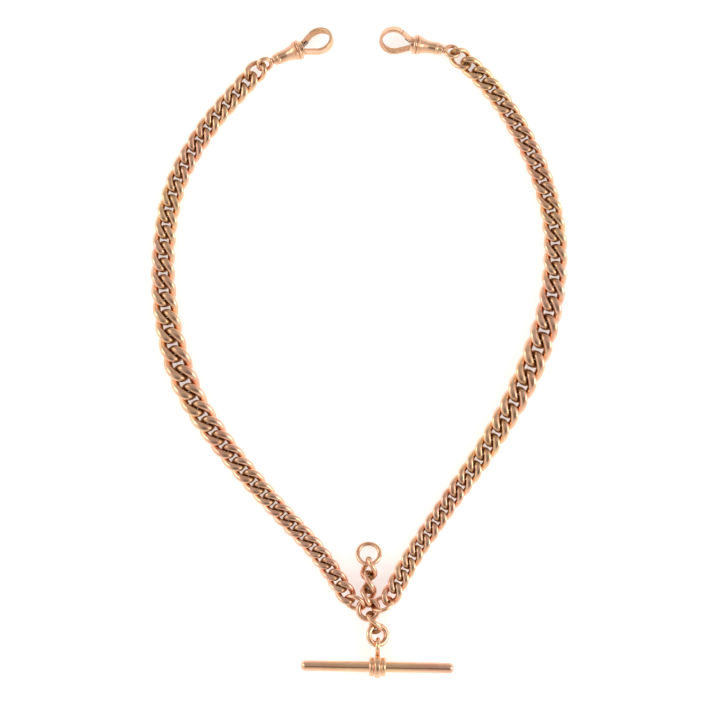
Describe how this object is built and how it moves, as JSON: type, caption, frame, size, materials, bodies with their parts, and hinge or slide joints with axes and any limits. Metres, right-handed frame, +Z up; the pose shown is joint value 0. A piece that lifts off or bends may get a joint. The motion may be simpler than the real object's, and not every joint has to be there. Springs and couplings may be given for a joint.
{
  "type": "pocket watch chain",
  "caption": "Rose gold watch chain of graduated curb links between sprung swivel clips, with a fob ring drop and a T-bar drop at its centre.",
  "frame": {"origin": "middle of the laid-out chain, on the surface it lies on", "axes": "+Y from the T-bar towards the clips, +X to the right along the T-bar, +Z up from the surface"},
  "size_m": [0.1036, 0.1626, 0.0059],
  "materials": {
    "chain_gold": "polished rose gold, softly worn",
    "ring_gold": "polished rose gold",
    "clip_gold": "polished rose gold with fine scratches",
    "bar_gold": "polished rose gold",
    "pin_gold": "dull rose gold",
    "spring_steel": "plain spring steel"
  },
  "bodies": {
    "centre_ring": {"centre_ring": "ring_gold"},
    "left_jump_ring": {"left_jump_ring": "ring_gold"},
    "left_curb_run_13": {"left_curb_run_13": "chain_gold"},
    "left_curb_run_12": {"left_curb_run_12": "chain_gold"},
    "left_curb_run_11": {"left_curb_run_11": "chain_gold"},
    "left_curb_run_10": {"left_curb_run_10": "chain_gold"},
    "left_curb_run_09": {"left_curb_run_09": "chain_gold"},
    "left_curb_run_08": {"left_curb_run_08": "chain_gold"},
    "left_curb_run_07": {"left_curb_run_07": "chain_gold"},
    "left_curb_run_06": {"left_curb_run_06": "chain_gold"},
    "left_curb_run_05": {"left_curb_run_05": "chain_gold"},
    "left_curb_run_04": {"left_curb_run_04": "chain_gold"},
    "left_curb_run_03": {"left_curb_run_03": "chain_gold"},
    "left_curb_run_02": {"left_curb_run_02": "chain_gold"},
    "left_curb_run_01": {"left_curb_run_01": "chain_gold"},
    "left_end_link": {"left_end_link": "chain_gold"},
    "left_swivel_eye": {"left_swivel_eye": "clip_gold"},
    "left_clip": {"left_clip_barrel": "clip_gold", "left_clip_hook": "clip_gold", "left_gate_pin": "pin_gold", "left_gate_spring": "spring_steel"},
    "left_clip_gate": {"left_clip_gate": "clip_gold"},
    "right_jump_ring": {"right_jump_ring": "ring_gold"},
    "right_curb_run_13": {"right_curb_run_13": "chain_gold"},
    "right_curb_run_12": {"right_curb_run_12": "chain_gold"},
    "right_curb_run_11": {"right_curb_run_11": "chain_gold"},
    "right_curb_run_10": {"right_curb_run_10": "chain_gold"},
    "right_curb_run_09": {"right_curb_run_09": "chain_gold"},
    "right_curb_run_08": {"right_curb_run_08": "chain_gold"},
    "right_curb_run_07": {"right_curb_run_07": "chain_gold"},
    "right_curb_run_06": {"right_curb_run_06": "chain_gold"},
    "right_curb_run_05": {"right_curb_run_05": "chain_gold"},
    "right_curb_run_04": {"right_curb_run_04": "chain_gold"},
    "right_curb_run_03": {"right_curb_run_03": "chain_gold"},
    "right_curb_run_02": {"right_curb_run_02": "chain_gold"},
    "right_curb_run_01": {"right_curb_run_01": "chain_gold"},
    "right_end_link": {"right_end_link": "chain_gold"},
    "right_swivel_eye": {"right_swivel_eye": "clip_gold"},
    "right_clip": {"right_clip_barrel": "clip_gold", "right_clip_hook": "clip_gold", "right_gate_pin": "pin_gold", "right_gate_spring": "spring_steel"},
    "right_clip_gate": {"right_clip_gate": "clip_gold"},
    "fob_link_3": {"fob_link_3": "ring_gold"},
    "fob_link_2": {"fob_link_2": "ring_gold"},
    "fob_link_1": {"fob_link_1": "ring_gold"},
    "fob_ring": {"fob_ring": "ring_gold"},
    "t_drop_link": {"t_drop_link": "ring_gold"},
    "t_drop_ring": {"t_drop_ring": "ring_gold"},
    "t_bar": {"t_bar": "bar_gold", "t_bar_collar_left": "bar_gold", "t_bar_collar_right": "bar_gold"},
    "t_bar_bail": {"t_bar_bail": "bar_gold"}
  },
  "joints": [
    {"name": "left_jump_ring_swing", "type": "hinge", "parent": "centre_ring", "child": "left_jump_ring", "pos_m": [0.00003, -0.06302, 0.00269], "axis": [-0.4384, -0.8988, 0], "range_deg": [-7, 20]},
    {"name": "left_chain_swing", "type": "hinge", "parent": "left_jump_ring", "child": "left_curb_run_13", "pos_m": [-0.00301, -0.06098, 0.00339], "axis": [-0.5437, -0.3345, -0.7698], "range_deg": [-20, 20]},
    {"name": "left_curb_bend_01", "type": "hinge", "parent": "left_curb_run_13", "child": "left_curb_run_12", "pos_m": [-0.00677, -0.05486, 0.0027], "axis": [0.4536, 0.3808, 0.8057], "range_deg": [-12, 12]},
    {"name": "left_curb_bend_02", "type": "hinge", "parent": "left_curb_run_12", "child": "left_curb_run_11", "pos_m": [-0.0122, -0.04777, 0.00168], "axis": [0.446, 0.3836, -0.8086], "range_deg": [-12, 12]},
    {"name": "left_curb_bend_03", "type": "hinge", "parent": "left_curb_run_11", "child": "left_curb_run_10", "pos_m": [-0.0207, -0.03875, 0.0016], "axis": [-0.4329, -0.3976, -0.809], "range_deg": [-12, 12]},
    {"name": "left_curb_bend_04", "type": "hinge", "parent": "left_curb_run_10", "child": "left_curb_run_09", "pos_m": [-0.02707, -0.03153, 0.00169], "axis": [-0.4439, -0.3854, 0.809], "range_deg": [-12, 12]},
    {"name": "left_curb_bend_05", "type": "hinge", "parent": "left_curb_run_09", "child": "left_curb_run_08", "pos_m": [-0.03583, -0.02053, 0.00188], "axis": [0.4745, 0.3471, 0.8089], "range_deg": [-12, 12]},
    {"name": "left_curb_bend_06", "type": "hinge", "parent": "left_curb_run_08", "child": "left_curb_run_07", "pos_m": [-0.04212, -0.01075, 0.0021], "axis": [0.5422, 0.2269, -0.809], "range_deg": [-12, 12]},
    {"name": "left_curb_bend_07", "type": "hinge", "parent": "left_curb_run_07", "child": "left_curb_run_06", "pos_m": [-0.04743, 0.0052, 0.00197], "axis": [-0.5667, -0.1563, -0.8089], "range_deg": [-12, 12]},
    {"name": "left_curb_bend_08", "type": "hinge", "parent": "left_curb_run_06", "child": "left_curb_run_05", "pos_m": [-0.04894, 0.01662, 0.00183], "axis": [-0.5878, -0.0005, 0.809], "range_deg": [-12, 12]},
    {"name": "left_curb_bend_09", "type": "hinge", "parent": "left_curb_run_05", "child": "left_curb_run_04", "pos_m": [-0.04838, 0.03091, 0.0017], "axis": [0.5859, -0.0471, 0.809], "range_deg": [-12, 12]},
    {"name": "left_curb_bend_10", "type": "hinge", "parent": "left_curb_run_04", "child": "left_curb_run_03", "pos_m": [-0.04631, 0.04068, 0.00164], "axis": [0.5432, -0.2245, -0.809], "range_deg": [-12, 12]},
    {"name": "left_curb_bend_11", "type": "hinge", "parent": "left_curb_run_03", "child": "left_curb_run_02", "pos_m": [-0.0405, 0.05228, 0.0016], "axis": [-0.5064, 0.2984, -0.809], "range_deg": [-12, 12]},
    {"name": "left_curb_bend_12", "type": "hinge", "parent": "left_curb_run_02", "child": "left_curb_run_01", "pos_m": [-0.03498, 0.0599, 0.00158], "axis": [-0.4375, 0.3926, 0.809], "range_deg": [-12, 12]},
    {"name": "left_end_link_bend", "type": "hinge", "parent": "left_curb_run_01", "child": "left_end_link", "pos_m": [-0.02651, 0.06931, 0.00166], "axis": [0.4277, -0.4034, 0.8089], "range_deg": [-24, 24]},
    {"name": "left_eye_swing", "type": "hinge", "parent": "left_end_link", "child": "left_swivel_eye", "pos_m": [-0.024, 0.07202, 0.00223], "axis": [-0.3631, 0.4736, -0.8024], "range_deg": [-30, 30]},
    {"name": "left_clip_swivel", "type": "hinge", "parent": "left_swivel_eye", "child": "left_clip", "pos_m": [-0.02357, 0.07188, 0.00219], "axis": [0.9191, 0.3901, 0.0556], "continuous": true},
    {"name": "left_gate_open", "type": "hinge", "parent": "left_clip", "child": "left_clip_gate", "pos_m": [-0.01444, 0.07651, 0.00227], "axis": [0.266, -0.5102, -0.8179], "range_deg": [0, 18], "stiffness_Nm_per_rad": 0.0008, "springref_deg": -20.05, "deforming": ["left_gate_spring"]},
    {"name": "right_jump_ring_swing", "type": "hinge", "parent": "centre_ring", "child": "right_jump_ring", "pos_m": [0.00457, -0.06321, 0.00269], "axis": [-0.3584, 0.9336, 0], "range_deg": [-20, 7]},
    {"name": "right_chain_swing", "type": "hinge", "parent": "right_jump_ring", "child": "right_curb_run_13", "pos_m": [0.00788, -0.06154, 0.00216], "axis": [-0.4402, 0.4245, -0.7912], "range_deg": [-20, 20]},
    {"name": "right_curb_bend_01", "type": "hinge", "parent": "right_curb_run_13", "child": "right_curb_run_12", "pos_m": [0.01096, -0.05499, 0.00206], "axis": [0.536, -0.2436, 0.8083], "range_deg": [-12, 12]},
    {"name": "right_curb_bend_02", "type": "hinge", "parent": "right_curb_run_12", "child": "right_curb_run_11", "pos_m": [0.01557, -0.04733, 0.0016], "axis": [0.4796, -0.3399, -0.809], "range_deg": [-12, 12]},
    {"name": "right_curb_bend_03", "type": "hinge", "parent": "right_curb_run_11", "child": "right_curb_run_10", "pos_m": [0.02263, -0.03714, 0.0016], "axis": [-0.4791, 0.3405, -0.809], "range_deg": [-12, 12]},
    {"name": "right_curb_bend_04", "type": "hinge", "parent": "right_curb_run_10", "child": "right_curb_run_09", "pos_m": [0.0282, -0.02929, 0.00169], "axis": [-0.49, 0.3248, 0.809], "range_deg": [-12, 12]},
    {"name": "right_curb_bend_05", "type": "hinge", "parent": "right_curb_run_09", "child": "right_curb_run_08", "pos_m": [0.0358, -0.01746, 0.00188], "axis": [0.497, -0.3141, 0.8089], "range_deg": [-12, 12]},
    {"name": "right_curb_bend_06", "type": "hinge", "parent": "right_curb_run_08", "child": "right_curb_run_07", "pos_m": [0.04128, -0.0072, 0.0021], "axis": [0.5412, -0.2294, -0.809], "range_deg": [-12, 12]},
    {"name": "right_curb_bend_07", "type": "hinge", "parent": "right_curb_run_07", "child": "right_curb_run_06", "pos_m": [0.04709, 0.00859, 0.00197], "axis": [-0.5655, 0.1607, -0.8089], "range_deg": [-12, 12]},
    {"name": "right_curb_bend_08", "type": "hinge", "parent": "right_curb_run_06", "child": "right_curb_run_05", "pos_m": [0.04886, 0.01997, 0.00183], "axis": [-0.5872, 0.0283, 0.809], "range_deg": [-12, 12]},
    {"name": "right_curb_bend_09", "type": "hinge", "parent": "right_curb_run_05", "child": "right_curb_run_04", "pos_m": [0.04823, 0.03424, 0.0017], "axis": [0.582, 0.0829, 0.809], "range_deg": [-12, 12]},
    {"name": "right_curb_bend_10", "type": "hinge", "parent": "right_curb_run_04", "child": "right_curb_run_03", "pos_m": [0.04547, 0.04385, 0.00164], "axis": [0.5456, 0.2187, -0.809], "range_deg": [-12, 12]},
    {"name": "right_curb_bend_11", "type": "hinge", "parent": "right_curb_run_03", "child": "right_curb_run_02", "pos_m": [0.04001, 0.05563, 0.0016], "axis": [-0.5204, -0.2734, -0.809], "range_deg": [-12, 12]},
    {"name": "right_curb_bend_12", "type": "hinge", "parent": "right_curb_run_02", "child": "right_curb_run_01", "pos_m": [0.03488, 0.06352, 0.00158], "axis": [-0.4601, -0.3658, 0.809], "range_deg": [-12, 10]},
    {"name": "right_end_link_bend", "type": "hinge", "parent": "right_curb_run_01", "child": "right_end_link", "pos_m": [0.02626, 0.07273, 0.00166], "axis": [0.3979, 0.4329, 0.8089], "range_deg": [-24, 24]},
    {"name": "right_eye_swing", "type": "hinge", "parent": "right_end_link", "child": "right_swivel_eye", "pos_m": [0.02332, 0.07495, 0.00262], "axis": [-0.4962, -0.3589, -0.7905], "range_deg": [-30, 30]},
    {"name": "right_clip_swivel", "type": "hinge", "parent": "right_swivel_eye", "child": "right_clip", "pos_m": [0.02314, 0.07512, 0.00218], "axis": [-0.9817, 0.182, 0.0556], "continuous": true},
    {"name": "right_gate_open", "type": "hinge", "parent": "right_clip", "child": "right_clip_gate", "pos_m": [0.01328, 0.07766, 0.00323], "axis": [-0.0598, -0.5723, 0.8179], "range_deg": [0, 18], "stiffness_Nm_per_rad": 0.0008, "springref_deg": -20.05, "deforming": ["right_gate_spring"]},
    {"name": "fob_drop_swing", "type": "hinge", "parent": "centre_ring", "child": "fob_link_3", "pos_m": [0.0023, -0.06162, 0.00269], "axis": [-0.9998, 0.0175, 0], "range_deg": [-8, 7]},
    {"name": "fob_link_2_bend", "type": "hinge", "parent": "fob_link_3", "child": "fob_link_2", "pos_m": [0.00234, -0.05973, 0.00267], "axis": [0.8481, -0.0028, 0.5299], "range_deg": [-8, 16]},
    {"name": "fob_link_1_bend", "type": "hinge", "parent": "fob_link_2", "child": "fob_link_1", "pos_m": [0.00238, -0.05488, 0.00263], "axis": [-0.766, 0.0123, 0.6428], "range_deg": [-8, 16]},
    {"name": "fob_ring_swing", "type": "hinge", "parent": "fob_link_1", "child": "fob_ring", "pos_m": [0.00238, -0.05148, 0.0026], "axis": [-0.2419, 0.0085, 0.9703], "range_deg": [-30, 30]},
    {"name": "t_drop_swing", "type": "hinge", "parent": "centre_ring", "child": "t_drop_link", "pos_m": [0.00311, -0.06642, 0.00269], "axis": [0.9397, 0.342, 0], "range_deg": [-25, 25]},
    {"name": "t_drop_ring_swing", "type": "hinge", "parent": "t_drop_link", "child": "t_drop_ring", "pos_m": [0.00431, -0.06974, 0.00254], "axis": [0.8633, 0.2991, 0.4065], "range_deg": [-12, 12]},
    {"name": "t_bar_bail_swing", "type": "hinge", "parent": "t_drop_ring", "child": "t_bar_bail", "pos_m": [0.00469, -0.07289, 0.00289], "axis": [0.9233, -0.0159, -0.3838], "range_deg": [-25, 25]},
    {"name": "t_bar_turn", "type": "hinge", "parent": "t_bar_bail", "child": "t_bar", "pos_m": [0.00453, -0.07841, 0.003], "axis": [0.9998, -0.0175, 0], "continuous": true}
  ]
}
